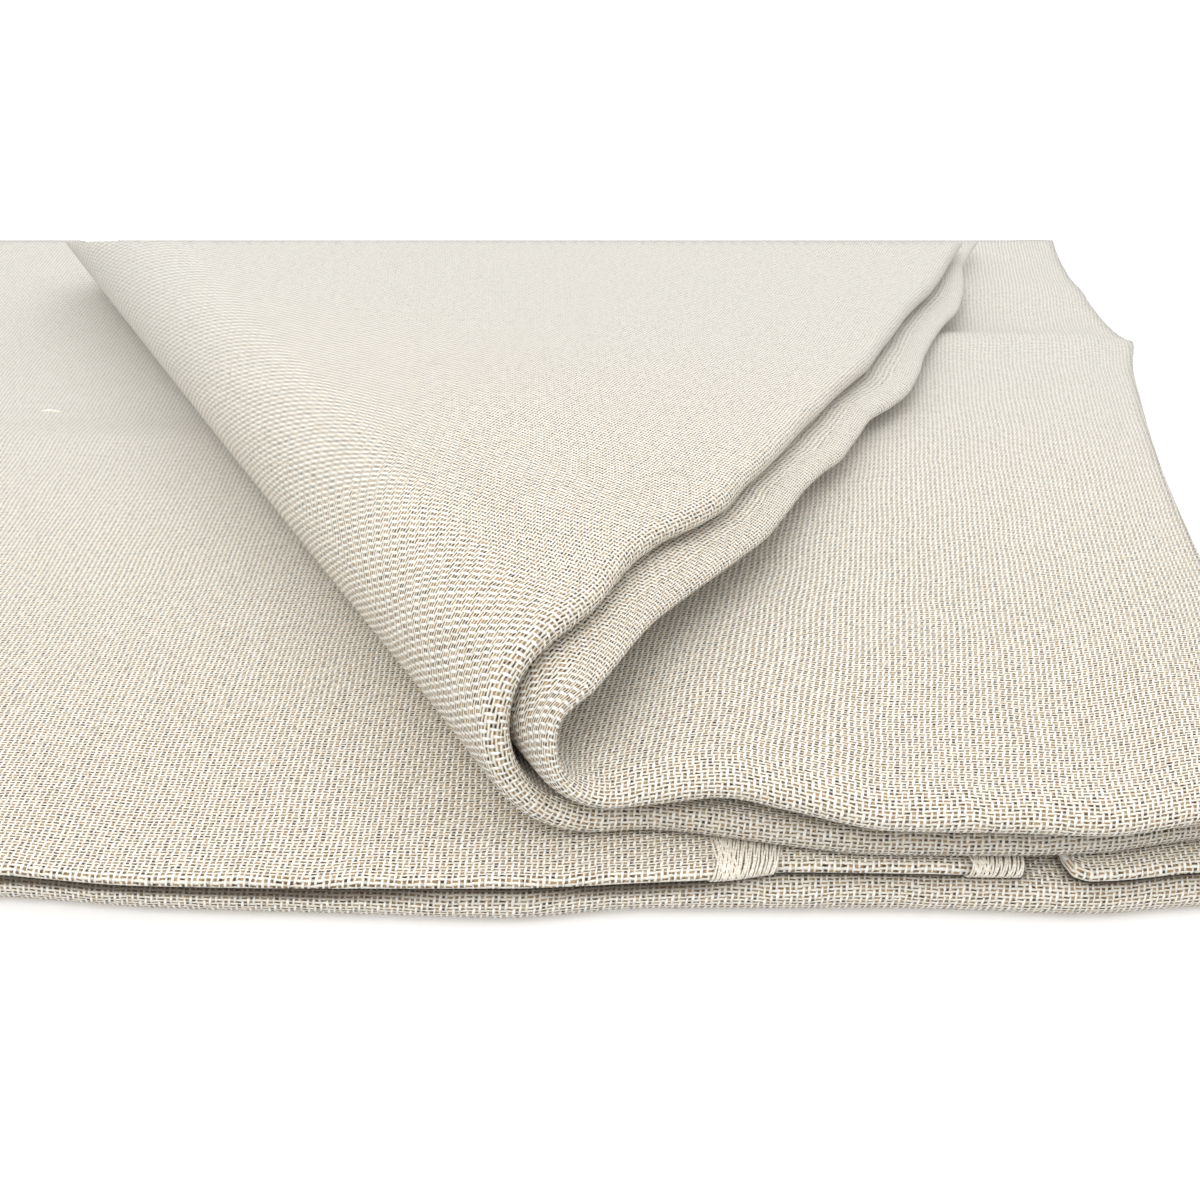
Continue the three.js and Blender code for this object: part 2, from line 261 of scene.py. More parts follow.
RIGHT_EDGE = (
    EdgeStation(0, 107),
    EdgeStation(81, 117.5),
    EdgeStation(114, 123),
    EdgeStation(155, 132.5),
    EdgeStation(178, 138.5),
    EdgeStation(200, 134.5),
    EdgeStation(224, 135.5),
    EdgeStation(243, 138),
)

CREASES = (
    Crease(Leaf.FACE, 170, 2.4, 7, 60, 150),
    Crease(Leaf.FACE, 187, -2.2, 10, 70, 150),
    Crease(Leaf.FACE, 206, 1.2, 8, 90, 150),
    Crease(Leaf.FACE, 10, -2.6, 45, -300, -12),
    Crease(Leaf.BED, 139, 0.9, 7, -200, -105),
    Crease(Leaf.BED, 152, -0.7, 9, -200, -110),
)

STRETCHES = (
    Stretch(Leaf.GROUND, 4.0),
    Stretch(Fold.GROUND, 0.7, Side.FRONT, 2.9),
    Stretch(Leaf.LEDGE, 3.0),
    Stretch(Fold.LEDGE_TUCK, 0.5, Side.BACK, 0.9),
    Stretch(Leaf.UNDER_LIP, 3.0),
    Stretch(Fold.LIP, 0.5, Side.FRONT, 0.9),
    Stretch(Leaf.BED, 3.0),
    Stretch(Fold.REAR, 0.9, Side.BACK, 2.4),
    Stretch(Leaf.CARRIER, 2.8),
    Stretch(Fold.OUTER, 0.7, Side.FRONT, 2.2),
    Stretch(Leaf.STRIP, 2.8),
    Stretch(Fold.INNER_TUCK, 0.6, Side.BACK, 1.1),
    Stretch(Leaf.LINER, 2.8),
    Stretch(Fold.INNER, 0.8, Side.FRONT, 5.5),
    Stretch(Leaf.FACE, 2.8),
)
LEDGE_INDEX = next(i for i, s in enumerate(STRETCHES) if s.part is Leaf.LEDGE)
BED_INDEX = next(i for i, s in enumerate(STRETCHES) if s.part is Leaf.BED)
REAR_INDEX = BED_INDEX + 1
OUTER_INDEX = next(i for i, s in enumerate(STRETCHES) if s.part is Fold.OUTER)


@dataclass(frozen=True)
class FoldedForm:
    """Where each point of the folded cloth lies, in millimetres from the front of the stack."""

    thickness: float = 1.0
    ground_end: float = 136.0
    ledge_height: float = 6.2
    under_lip_height: float = 7.5
    ledge_tuck: float = 31.0
    strip_offset: float = 4.0
    liner_offset: float = 6.2
    inner_tuck: float = 33.0
    rear_fold: float = 238.0
    front_offset: float = 11.8
    tightest: float = 0.6
    bed_left: float = -200.0
    main_left: float = -147.0
    bed_fade: float = 20.0
    farthest_left: float = -320.0
    halvings: int = 30
    rear_slant: float = 1.2
    cover_ease: float = 4.0
    lower_inset: float = 4.0
    far_cut: float = 271.2
    far_cut_slope: float = 2.44
    turn_x: float = 1.6
    turn_y: float = 10.0
    turn_direction: float = 122.3
    roll_radius: float = 16.0
    outer_slip: float = 12.5
    inner_slip: float = 7.5
    settle: float = 60.0
    rest_gap: float = 0.5
    edge_droop: float = 2.4
    edge_round: float = 16.0
    crease_fade: float = 25.0
    column_spacing: float = 3.0
    roll_steps: int = 26
    sliver: float = 0.5
    notch: tuple[float, float, float] = (64.3, 76.0, 0.57)

    @property
    def half(self) -> float:
        """Half the cloth's thickness."""
        return self.thickness / 2

    @property
    def line(self) -> tuple[float, float]:
        """Direction of the turning line in plan."""
        angle = math.radians(self.turn_direction)
        return math.cos(angle), math.sin(angle)

    def crease_height(self, leaf: Leaf, x: np.ndarray, y: np.ndarray) -> np.ndarray:
        """Height that a leaf's creases add at a place.

        Args:
            leaf: Which leaf.
            x: Places across the stack.
            y: Places along its depth.

        Returns:
            The added height.
        """
        total = np.zeros(np.broadcast(x, y).shape)
        for crease in CREASES:
            if crease.leaf is leaf:
                depth = (y - crease.y) / crease.width
                start = smooth(crease.start - self.crease_fade, crease.start, x)
                end = 1 - smooth(crease.end, crease.end + self.crease_fade, x)
                total = total + crease.height * np.exp(-(depth**2)) * start * end
        return total

    def bed_height(self, x: np.ndarray, y: np.ndarray) -> np.ndarray:
        """Height of the sheet seen at the left."""
        return along(HEIGHTS, "y", "bed", y) + self.crease_height(Leaf.BED, x, y)

    def carrier_height(self, x: np.ndarray, y: np.ndarray) -> np.ndarray:
        """Height of the leaf that becomes the top of the turned corner."""
        return along(HEIGHTS, "y", "carrier", y) + 0.0 * x

    def face_offset(self, x: np.ndarray, y: np.ndarray) -> np.ndarray:
        """Height of the sheet seen at the right, above the carrier.

        Args:
            x: Places across the stack.
            y: Places along its depth.

        Returns:
            The height at each place, less the droop along the right-hand edge.
        """
        inside = along(RIGHT_EDGE, "y", "x", y) - x
        droop = self.edge_droop * (1 - smooth(0, self.edge_round, inside))
        return along(HEIGHTS, "y", "face", y) + self.crease_height(Leaf.FACE, x, y) - droop

    def leaf_height(self, leaf: Leaf, x: np.ndarray, y: np.ndarray) -> np.ndarray:
        """Height of a leaf's middle before the corner is turned.

        Args:
            leaf: Which leaf.
            x: Places across the stack.
            y: Places along its depth.

        Returns:
            The height at each place.
        """
        flat = 0.0 * (x + y)
        if leaf is Leaf.GROUND:
            return flat + self.half
        if leaf is Leaf.LEDGE:
            return flat + self.ledge_height
        if leaf is Leaf.UNDER_LIP:
            return flat + self.under_lip_height
        if leaf is Leaf.BED:
            return self.bed_height(x, y)
        offset = {
            Leaf.CARRIER: lambda: flat,
            Leaf.STRIP: lambda: flat + self.strip_offset,
            Leaf.LINER: lambda: flat + self.liner_offset,
            Leaf.FACE: lambda: self.face_offset(x, y),
        }[leaf]()
        return self.carrier_height(x, y) + offset

    def nose(self, fold: Fold, x: np.ndarray) -> np.ndarray:
        """How far back a fold's nose lies.

        Args:
            fold: Which fold.
            x: Places across the stack.

        Returns:
            The depth at each place.
        """
        fixed = {
            Fold.LEDGE_TUCK: self.ledge_tuck,
            Fold.INNER_TUCK: self.inner_tuck,
            Fold.REAR: self.rear_fold,
        }
        if fold in fixed:
            return fixed[fold] + 0.0 * x
        table, column = {
            Fold.GROUND: (LOWER_FOLDS, "ground"),
            Fold.LIP: (LOWER_FOLDS, "lip"),
            Fold.OUTER: (UPPER_FOLDS, "outer"),
            Fold.INNER: (UPPER_FOLDS, "inner"),
        }[fold]
        return along(table, "x", column, x)

    def fold_reach(self, index: int, x: np.ndarray) -> np.ndarray:
        """How far a fold's nose stands out, with no bend smaller than the tightest.

        Args:
            index: Which stretch of the sheet.
            x: Places across the stack.

        Returns:
            The reach at each place.
        """
        stretch = STRETCHES[index]
        y = self.nose(stretch.part, x) - stretch.side.value * stretch.reach
        low = self.leaf_height(STRETCHES[index - 1].part, x, y)
        high = self.leaf_height(STRETCHES[index + 1].part, x, y)
        return np.minimum(stretch.reach, ((high - low) / 2) ** 2 / self.tightest)

    def fold_centre(self, index: int, x: np.ndarray) -> np.ndarray:
        """How far back the centre line of a fold lies."""
        stretch = STRETCHES[index]
        return self.nose(stretch.part, x) - stretch.side.value * self.fold_reach(index, x)

    def cut_line(self, leaf: Leaf, x: np.ndarray) -> np.ndarray:
        """How far back a leaf that ends in a cut ends.

        Args:
            leaf: Which leaf.
            x: Places across the stack.

        Returns:
            The depth of the cut at each place.
        """
        if leaf is Leaf.GROUND:
            return self.ground_end + 0.0 * x
        back = self.rear_fold + 0.0 * x
        height = self.leaf_height(Leaf.FACE, x, back) + self.half
        return self.far_cut - self.far_cut_slope * height

    def lying(self, index: int, v: float, x: np.ndarray) -> tuple[np.ndarray, np.ndarray]:
        """Depth and height of a row's points before the corner is turned.

        Args:
            index: Which stretch of the sheet.
            v: Share of the way along it.
            x: Places of the points across the stack.

        Returns:
            Depth and height of each point.
        """
        stretch = STRETCHES[index]
        if isinstance(stretch.part, Leaf):
            start = self.leaf_end(index, index - 1, x)
            end = self.leaf_end(index, index + 1, x)
            if stretch.part is Leaf.BED:
                free = self.far_cut - self.far_cut_slope * self.thickness
                joined = smooth(self.main_left - self.bed_fade, self.main_left, x)
                end = mix(free, end, joined)
            y = mix(start, end, v)
            return y, self.leaf_height(stretch.part, x, y)
        centre = self.fold_centre(index, x)
        low = self.leaf_height(STRETCHES[index - 1].part, x, centre)
        high = self.leaf_height(STRETCHES[index + 1].part, x, centre)
        angle = v * math.pi
        y = centre + stretch.side.value * self.fold_reach(index, x) * math.sin(angle)
        return y, (low + high) / 2 - (high - low) / 2 * math.cos(angle)

    def leaf_end(self, index: int, neighbour: int, x: np.ndarray) -> np.ndarray:
        """Depth where a leaf meets its neighbour, or where it is cut.

        Args:
            index: Which stretch of the sheet.
            neighbour: The stretch on that side of it.
            x: Places across the stack.

        Returns:
            The depth at each place.
        """
        if 0 <= neighbour < len(STRETCHES):
            return self.fold_centre(neighbour, x)
        return self.cut_line(STRETCHES[index].part, x)

    def turn_place(self, x: np.ndarray, y: np.ndarray) -> tuple[np.ndarray, np.ndarray]:
        """Distance along the turning line and past it to the left.

        Args:
            x: Places across the stack.
            y: Places along its depth.

        Returns:
            The two distances of each place.
        """
        dx, dy = x - self.turn_x, y - self.turn_y
        cos, sin = self.line
        return dx * cos + dy * sin, dy * cos - dx * sin

    def plan(self, on_line: np.ndarray, past: np.ndarray) -> tuple[np.ndarray, np.ndarray]:
        """Plan position of a place given along and past the turning line."""
        cos, sin = self.line
        return self.turn_x + on_line * cos - past * sin, self.turn_y + on_line * sin + past * cos

    def bend_x(self, y: float) -> float:
        """Where the turning line crosses a depth."""
        cos, sin = self.line
        return self.turn_x + (y - self.turn_y) / sin * cos

    def slip(self, index: int, v: float) -> float:
        """Length of cloth that a leaf spends on half a turn, over pi.

        Args:
            index: Which stretch of the sheet.
            v: Share of the way along it.

        Returns:
            The length, shorter for the leaves on the inside of the roll.
        """
        share = {
            Leaf.STRIP: v / 2,
            Fold.INNER_TUCK: 0.5,
            Leaf.LINER: (1 + v) / 2,
            Fold.INNER: 1.0,
            Leaf.FACE: 1.0,
        }.get(STRETCHES[index].part, 0.0)
        return mix(self.outer_slip, self.inner_slip, share)

    def turned(self, x: np.ndarray, y: np.ndarray, z: np.ndarray, slip: float) -> tuple:
        """Rolls points of the upper leaves up about the turning line and lays them on the face.

        Args:
            x: Places across the stack.
            y: Places along its depth.
            z: Heights before the turn.
            slip: Length of cloth spent on half a turn, over pi.

        Returns:
            The three coordinates after the turn, and the height of the cloth over each point.
        """
        on_line, past = self.turn_place(x, y)
        offset = z - self.carrier_height(x, y)
        base = self.carrier_height(*self.plan(on_line, 0.0 * on_line))
        angle = np.clip(past / slip, 0.0, math.pi)
        radius = self.roll_radius - offset
        beyond = np.maximum(past - math.pi * slip, 0.0)
        plan_x, plan_y = self.plan(on_line, radius * np.sin(angle) - beyond)
        rolled = base + self.roll_radius - radius * np.cos(angle)
        rest_on = self.carrier_height(plan_x, plan_y) + along(HEIGHTS, "y", "face", plan_y)
        rest = rest_on + self.thickness + self.rest_gap + self.front_offset
        top = base + 2 * self.roll_radius
        carrier = rest + (top - rest) * np.exp(-((beyond / self.settle) ** 2))
        flat, laid = past <= 0, beyond > 0
        new_z = np.where(flat, z, np.where(laid, carrier - offset, rolled))
        above_x, above_y = self.plan(on_line, beyond + math.pi * self.outer_slip)
        edge = self.nose(Fold.OUTER, above_x)
        laid_cover = mix(new_z, carrier, smooth(0, self.cover_ease, above_y - edge + 1))
        roll_cover = rolled + offset * (1 - np.cos(angle)) / 2
        cover = np.where(flat, z, np.where(laid, laid_cover, roll_cover))
        return np.where(flat, x, plan_x), np.where(flat, y, plan_y), new_z, cover

    def place(self, index: int, v: float, x: np.ndarray) -> tuple:
        """Final coordinates of a row's points, and the height of what covers them.

        Args:
            index: Which stretch of the sheet.
            v: Share of the way along it.
            x: Places of the points across the stack.

        Returns:
            The three coordinates and the covering height of each point.
        """
        y, z = self.lying(index, v, x)
        if index > REAR_INDEX:
            return self.turned(x, y, z, self.slip(index, v))
        return x, y, z, z

    def left_end(self, index: int, v: float) -> float:
        """Left end of a row: for the upper leaves, where the turned cloth reaches the far cut.

        Args:
            index: Which stretch of the sheet.
            v: Share of the way along it.

        Returns:
            Place of the row's first point.
        """
        if index <= REAR_INDEX:
            return self.main_left
        y = float(self.lying(index, v, np.zeros(1))[0][0])
        inside, outside = self.bend_x(y), self.farthest_left
        for _ in range(self.halvings):
            x = (inside + outside) / 2
            _, far, _, cover = self.place(index, v, np.array([x]))
            if far[0] > self.far_cut - self.far_cut_slope * (cover[0] + self.half):
                outside = x
            else:
                inside = x
        return max(inside, self.main_left - self.rear_slant * (self.rear_fold - y))

    def row(self, index: int, v: float) -> tuple[np.ndarray, np.ndarray]:
        """Places of a row's points from left to right, and keys that pair it with the next.

        Args:
            index: Which stretch of the sheet.
            v: Share of the way along it.

        Returns:
            Places across the stack, and keys that rise with them.
        """
        y = float(self.lying(index, v, np.zeros(1))[0][0])
        upper = index >= len(STRETCHES) - 2
        right = float(along(RIGHT_EDGE, "y", "x", y)) - (0.0 if upper else self.lower_inset)
        left = self.left_end(index, v)
        if index <= REAR_INDEX:
            places = self.spread(left, right)
            if LEDGE_INDEX < index <= BED_INDEX:
                places = np.unique(np.concatenate([places, np.arange(*self.notch)]))
            if index <= BED_INDEX:
                places = np.concatenate([self.spread(self.bed_left, left)[:-1], places])
        else:
            bend = self.bend_x(y)
            rolled = bend - math.pi * self.slip(index, v) / self.line[1]
            beyond = np.zeros(0)
            if left < rolled - self.sliver:
                beyond = self.spread(left, rolled)[:-1]
            around = mix(rolled, bend, np.arange(self.roll_steps) / self.roll_steps)
            places = np.concatenate([beyond, around, self.spread(bend, right)])
            places = np.concatenate([[left], places[places > left + self.sliver]])
        if index < REAR_INDEX:
            return places, places
        bend = self.bend_x(y)
        past = self.turn_place(places, np.full_like(places, y))[1]
        flat_keys = (places - bend) / (right - bend)
        keys = np.where(places > bend, flat_keys, -past / self.slip(index, v))
        return places, keys

    def spread(self, start: float, end: float) -> np.ndarray:
        """Evenly spaced places from one to another, both included."""
        count = max(1, math.ceil(abs(end - start) / self.column_spacing))
        return np.linspace(start, end, count + 1)


@dataclass
class NodeSheet:
    """Short ways to lay out a material's nodes."""

    tree: bpy.types.NodeTree

    def math(self, operation: str, *inputs: object) -> bpy.types.NodeSocket:
        """Adds a Math node.

        Args:
            operation: Blender's name of the operation.
            inputs: Sockets or numbers, in order.

        Returns:
            The node's output.
        """
        node = self.tree.nodes.new("ShaderNodeMath")
        node.operation = operation
        for i, value in enumerate(inputs):
            self.feed(node.inputs[i], value)
        return node.outputs[0]

    def feed(self, socket: bpy.types.NodeSocket, value: object) -> None:
        """Links a socket to an input, or sets the input's own value.

        Args:
            socket: The input.
            value: The socket, number or colour that goes in.
        """
        if isinstance(value, bpy.types.NodeSocket):
            self.tree.links.new(value, socket)
        else:
            socket.default_value = value

    def ramp(
        self, value: object, low: float, high: float, start: float = 0.0, end: float = 1.0
    ) -> bpy.types.NodeSocket:
        """Eases a value from start to end as it goes from low to high.

        Args:
            value: The socket to map.
            low: Value where the result is start.
            high: Value where the result is end.
            start: Result at low.
            end: Result at high.

        Returns:
            The eased result.
        """
        node = self.tree.nodes.new("ShaderNodeMapRange")
        node.interpolation_type = "SMOOTHSTEP"
        limits = {"From Min": low, "From Max": high, "To Min": start, "To Max": end}
        for name, number in limits.items():
            node.inputs[name].default_value = number
        self.feed(node.inputs["Value"], value)
        return node.outputs["Result"]

    def noise(self, vector: object, scale: float, detail: float) -> bpy.types.NodeSocket:
        """Noise between 0 and 1 over a vector.

        Args:
            vector: The vector.
            scale: How fine the noise is.
            detail: How many finer layers it has.

        Returns:
            The noise.
        """
        node = self.tree.nodes.new("ShaderNodeTexNoise")
        node.inputs["Scale"].default_value = scale
        node.inputs["Detail"].default_value = detail
        self.feed(node.inputs["Vector"], vector)
        return node.outputs["Fac"]

    def vector(self, x: object, y: object, z: float) -> bpy.types.NodeSocket:
        """A vector of three parts.

        Args:
            x: First part.
            y: Second part.
            z: Third part.

        Returns:
            The vector.
        """
        node = self.tree.nodes.new("ShaderNodeCombineXYZ")
        for i, value in enumerate((x, y, z)):
            self.feed(node.inputs[i], value)
        return node.outputs[0]

    def blend(self, share: object, first: object, second: object) -> bpy.types.NodeSocket:
        """Colour at a share of the way from the first to the second.

        Args:
            share: The share, from 0 to 1.
            first: Colour at 0.
            second: Colour at 1.

        Returns:
            The colour.
        """
        node = self.tree.nodes.new("ShaderNodeMix")
        node.data_type = "RGBA"
        self.feed(node.inputs[0], share)
        self.feed(node.inputs[6], first)
        self.feed(node.inputs[7], second)
        return node.outputs[2]


@dataclass(frozen=True)
class TwillCotton:
    """Loose cream cotton in a two-up, one-down twill, with its threads as colour and relief.

    The thick threads run along the sheet and show as short leaning bars. The thin ones cross them
    and are painted darker, as painted shade where they lie lower than the bars; the slits between
    both are painted with the shadow under the cloth. Pitches are in millimetres. Widths,
    leans, lifts and rises are shares of a pitch. Seeds keep the noises apart.
    """

    name: str = "loose_cotton_twill"
    thick_pitch: float = 1.0
    thin_pitch: float = 0.58
    thick_width: float = 0.47
    thin_width: float = 0.62
    thick_lean: float = 0.32
    thin_lean: float = -0.10
    thread: tuple = (0.99, 0.97, 0.92, 1.0)
    thread_warm: tuple = (0.95, 0.91, 0.82, 1.0)
    # Painted shade: the thin threads are painted darker where they lie lower than the bars.
    shaded_cross_thread: tuple = (0.90, 0.85, 0.75, 1.0)
    # Painted shade in the slits: tan where cloth shows below, near black where they open.
    slit_shade_tan: tuple = (0.46, 0.31, 0.16, 1.0)
    # This near black is also the colour that the mesh's painted shade darkens towards.
    painted_shade_dark: tuple = (0.06, 0.035, 0.016, 1.0)
    wander: float = 1.6
    wander_scales: tuple = (0.06, 0.07)
    wander_seeds: tuple = (3.0, 40.0)
    width_scale: float = 0.95
    width_range: tuple = (0.34, 0.66)
    thick_seed: float = 11.0
    thin_seed: float = 23.0
    thick_lift: float = -0.5
    thin_lift: float = 0.4
    thick_rise: float = 0.55
    thin_rise: float = 0.5
    ground_level: float = -1.2
    relief: float = 0.3
    bump_strength: float = 0.8
    near: float = -0.045
    far: float = 0.10
    far_share: float = 0.35
    mean: tuple = (0.535, 0.535, 0.50, 1.0)

    def build(self) -> bpy.types.Material:
        """Makes the finish.

        Returns:
            The material.
        """
        material = bpy.data.materials.new(self.name)
        material.use_nodes = True
        tree = material.node_tree
        nodes = NodeSheet(tree)
        shader = tree.nodes["Principled BSDF"]
        shader.inputs["Roughness"].default_value = 0.92
        shader.inputs["Specular IOR Level"].default_value = 0.2
        shader.inputs["Sheen Weight"].default_value = 0.1
        shader.inputs["Sheen Roughness"].default_value = 0.5
        uv = tree.nodes.new("ShaderNodeUVMap")
        uv.uv_map = "threads"
        split = tree.nodes.new("ShaderNodeSeparateXYZ")
        tree.links.new(uv.outputs[0], split.inputs[0])
        place = tree.nodes.new("ShaderNodeTexCoord")
        depth = tree.nodes.new("ShaderNodeSeparateXYZ")
        tree.links.new(place.outputs["Object"], depth.inputs[0])
        open_share = nodes.ramp(depth.outputs[1], self.near, self.far, 1.0, self.far_share)
        thick, thin = self.threads_at(nodes, split.outputs[0], split.outputs[1])
        colour, height = self.weave(nodes, thick, thin, open_share)
        tree.links.new(colour, shader.inputs["Base Color"])
        bump = tree.nodes.new("ShaderNodeBump")
        bump.inputs["Distance"].default_value = self.relief * MM
        strength = nodes.math("MULTIPLY", open_share, self.bump_strength)
        tree.links.new(strength, bump.inputs["Strength"])
        tree.links.new(height, bump.inputs["Height"])
        tree.links.new(bump.outputs[0], shader.inputs["Normal"])
        return material

    def threads_at(self, nodes: NodeSheet, u: object, v: object) -> tuple:
        """Counts of threads passed on the way to a point, with the threads wandering a little.

        Args:
            nodes: The material's nodes.
            u: Distance across the cloth, in millimetres.
            v: Distance along it.

        Returns:
            Counts of thick and of thin threads.
        """
        pitches = (self.thick_pitch, self.thin_pitch)
        counts = []
        for k, (here, there) in enumerate(((u, v), (v, u))):
            over = nodes.vector(here, there, self.wander_seeds[k])
            drift = nodes.math("SUBTRACT", nodes.noise(over, self.wander_scales[k], 3.0), 0.5)
            shifted = nodes.math("ADD", here, nodes.math("MULTIPLY", drift, self.wander))
            counts.append(nodes.math("DIVIDE", shifted, pitches[k]))
        return tuple(counts)

    def float_share(self, nodes: NodeSheet, along_count: object, own_number: object) -> object:
        """Share of the way through a thread's cycle of three crossings."""
        lead = nodes.math("SUBTRACT", nodes.math("SUBTRACT", along_count, own_number), 0.5)
        return nodes.math("FRACT", nodes.math("DIVIDE", lead, 3.0))

    def side(self, nodes: NodeSheet, count: object, share: object, lean: float) -> object:
        """Distance from the middle line of a thread that leans in its floats.

        Args:
            nodes: The material's nodes.
            count: Count of threads across.
            share: Share of the way through the thread's cycle.
            lean: How far it leans in one cycle.

        Returns:
            The distance in pitches.
        """
        lean_here = nodes.math("MULTIPLY", nodes.math("SUBTRACT", share, 0.5), lean)
        across = nodes.math("SUBTRACT", nodes.math("FRACT", count), 0.5)
        return nodes.math("ABSOLUTE", nodes.math("SUBTRACT", across, lean_here))

    def half_width(
        self, nodes: NodeSheet, a: object, b: object, seed: float, width: float
    ) -> object:
        """Half a thread's width, thicker and thinner along it.

        Args:
            nodes: The material's nodes.
            a: Count of thick threads.
            b: Count of thin threads.
            seed: Number that its unevenness comes from.
            width: Its mean width in pitches.

        Returns:
            Half the width in pitches.
        """
        uneven = nodes.noise(nodes.vector(a, b, seed), self.width_scale, 3.0)
        thinnest, thickest = (width * share for share in self.width_range)
        return nodes.ramp(uneven, 0.25, 0.75, thinnest, thickest)

    def lift(self, nodes: NodeSheet, share: object, height: float) -> object:
        """Rise and fall of a thread over and under those that it crosses."""
        wave = nodes.math("COSINE", nodes.math("MULTIPLY", share, math.tau))
        return nodes.math("MULTIPLY", wave, height)

    def weave(self, nodes: NodeSheet, a: object, b: object, open_share: object) -> tuple:
        """Colour of the weave, with its painted shade, and its height.

        Args:
            nodes: The material's nodes.
            a: Count of thick threads.
            b: Count of thin threads.
            open_share: How open the slits are, from 0 to 1.

        Returns:
            The colour and the height.
        """
        i, j = nodes.math("FLOOR", a), nodes.math("FLOOR", b)
        along_thick, along_thin = self.float_share(nodes, b, i), self.float_share(nodes, a, j)
        side_a = self.side(nodes, a, along_thick, self.thick_lean)
        side_b = self.side(nodes, b, along_thin, self.thin_lean)
        half_a = self.half_width(nodes, a, b, self.thick_seed, self.thick_width)
        half_b = self.half_width(nodes, a, b, self.thin_seed, self.thin_width)
        on_a = nodes.ramp(nodes.math("SUBTRACT", half_a, side_a), -0.02, 0.05)
        on_b = nodes.ramp(nodes.math("SUBTRACT", half_b, side_b), -0.03, 0.06)
        lift_a = self.lift(nodes, along_thick, self.thick_lift)
        lift_b = self.lift(nodes, along_thin, self.thin_lift)
        across_a = nodes.math("DIVIDE", side_a, half_a)
        across_b = nodes.math("DIVIDE", side_b, half_b)
        top_a = self.crown(nodes, across_a, lift_a, on_a, self.thick_rise)
        top_b = self.crown(nodes, across_b, lift_b, on_b, self.thin_rise)
        height = nodes.math("MAXIMUM", top_a, top_b)
        cover = nodes.math("MAXIMUM", on_a, on_b)
        thread = self.thread_colour(nodes, a, b)
        slit = self.slit_shade_colour(nodes, a, b)
        # Painted shade: where a thin thread lies on top it takes the darker cross-thread colour.
        bar_share = nodes.ramp(nodes.math("SUBTRACT", top_a, top_b), -0.12, 0.12)
        crossing = nodes.blend(bar_share, self.shaded_cross_thread, thread)
        # Painted shade: low parts of the weave are blended towards the slit colour.
        shaded = nodes.blend(nodes.ramp(height, -0.35, 0.6, 0.4, 1.0), slit, crossing)
        # Painted shade in the slits wherever no thread covers.
        near_colour = nodes.blend(cover, slit, shaded)
        lit = nodes.blend(open_share, self.mean, near_colour)
        # Painted shade: darkens towards near black by the mesh's painted-shade attribute.
        return nodes.blend(self.painted_shade_share(nodes), lit, self.painted_shade_dark), height

    def thread_colour(self, nodes: NodeSheet, a: object, b: object) -> object:
        """Colour of the thick threads, one a little warmer than the next.

        Args:
            nodes: The material's nodes.
            a: Count of thick threads.
            b: Count of thin threads.

        Returns:
            The colour.
        """
        across, down = nodes.math("MULTIPLY", a, 0.9), nodes.math("MULTIPLY", b, 0.05)
        tint = nodes.noise(nodes.vector(across, down, 9.0), 1.0, 1.0)
        return nodes.blend(nodes.ramp(tint, 0.3, 0.75), self.thread, self.thread_warm)

    def slit_shade_colour(self, nodes: NodeSheet, a: object, b: object) -> object:
        """Painted shade in the slits: tan where cloth shows below, near black where they open.

        Args:
            nodes: The material's nodes.
            a: Count of thick threads.
            b: Count of thin threads.

        Returns:
            The colour.
        """
        chance = nodes.noise(nodes.vector(a, nodes.math("MULTIPLY", b, 0.7), 61.0), 0.9, 2.0)
        return nodes.blend(nodes.ramp(chance, 0.36, 0.66), self.slit_shade_tan, self.painted_shade_dark)

    def painted_shade_share(self, nodes: NodeSheet) -> object:
        """How much painted shade a point has, from 0 to 1.

        Args:
            nodes: The material's nodes.

        Returns:
            The share.
        """
        node = nodes.tree.nodes.new("ShaderNodeAttribute")
        node.attribute_name = "painted_shade"
        return node.outputs["Fac"]

    def crown(
        self, nodes: NodeSheet, across: object, lift: object, on: object, rise: float
    ) -> object:
        """Height of a thread's rounded top where it covers, and of the ground beside it.

        Args:
            nodes: The material's nodes.
            across: Distance from its middle line, as a share of half its width.
            lift: How high its middle runs here.
            on: Where it covers, from 0 to 1.
            rise: How much its middle stands above its sides.

        Returns:
            The height.
        """
        low = self.ground_level
        round_top = nodes.math("SUBTRACT", 1.0, nodes.math("POWER", across, 2.0))
        top = nodes.math("ADD", nodes.math("MULTIPLY", round_top, rise), lift)
        above = nodes.math("SUBTRACT", nodes.math("MAXIMUM", top, low), low)
        return nodes.math("ADD", nodes.math("MULTIPLY", above, on), low)


@dataclass(frozen=True)
class SewingCotton:
    """Spun cotton thread: cream, matt, with a fine fibrous unevenness."""

    name: str = "hem_thread_cotton"
    light: tuple = (0.96, 0.93, 0.86, 1.0)
    dull: tuple = (0.72, 0.63, 0.50, 1.0)
    fibre_scale: float = 2600.0
    fibre_depth: float = 0.06

    def build(self) -> bpy.types.Material:
        """Makes the finish.

        Returns:
            The material.
        """
        material = bpy.data.materials.new(self.name)
        material.use_nodes = True
        tree = material.node_tree
        nodes = NodeSheet(tree)
        shader = tree.nodes["Principled BSDF"]
        shader.inputs["Roughness"].default_value = 0.9
        shader.inputs["Specular IOR Level"].default_value = 0.2
        place = tree.nodes.new("ShaderNodeTexCoord")
        fibre = nodes.noise(place.outputs["Object"], self.fibre_scale, 3.0)
        colour = nodes.blend(nodes.ramp(fibre, 0.35, 0.7), self.light, self.dull)
        tree.links.new(colour, shader.inputs["Base Color"])
        bump = tree.nodes.new("ShaderNodeBump")
        bump.inputs["Strength"].default_value = 0.6
        bump.inputs["Distance"].default_value = self.fibre_depth * MM
        tree.links.new(fibre, bump.inputs["Height"])
        tree.links.new(bump.outputs[0], shader.inputs["Normal"])
        return material


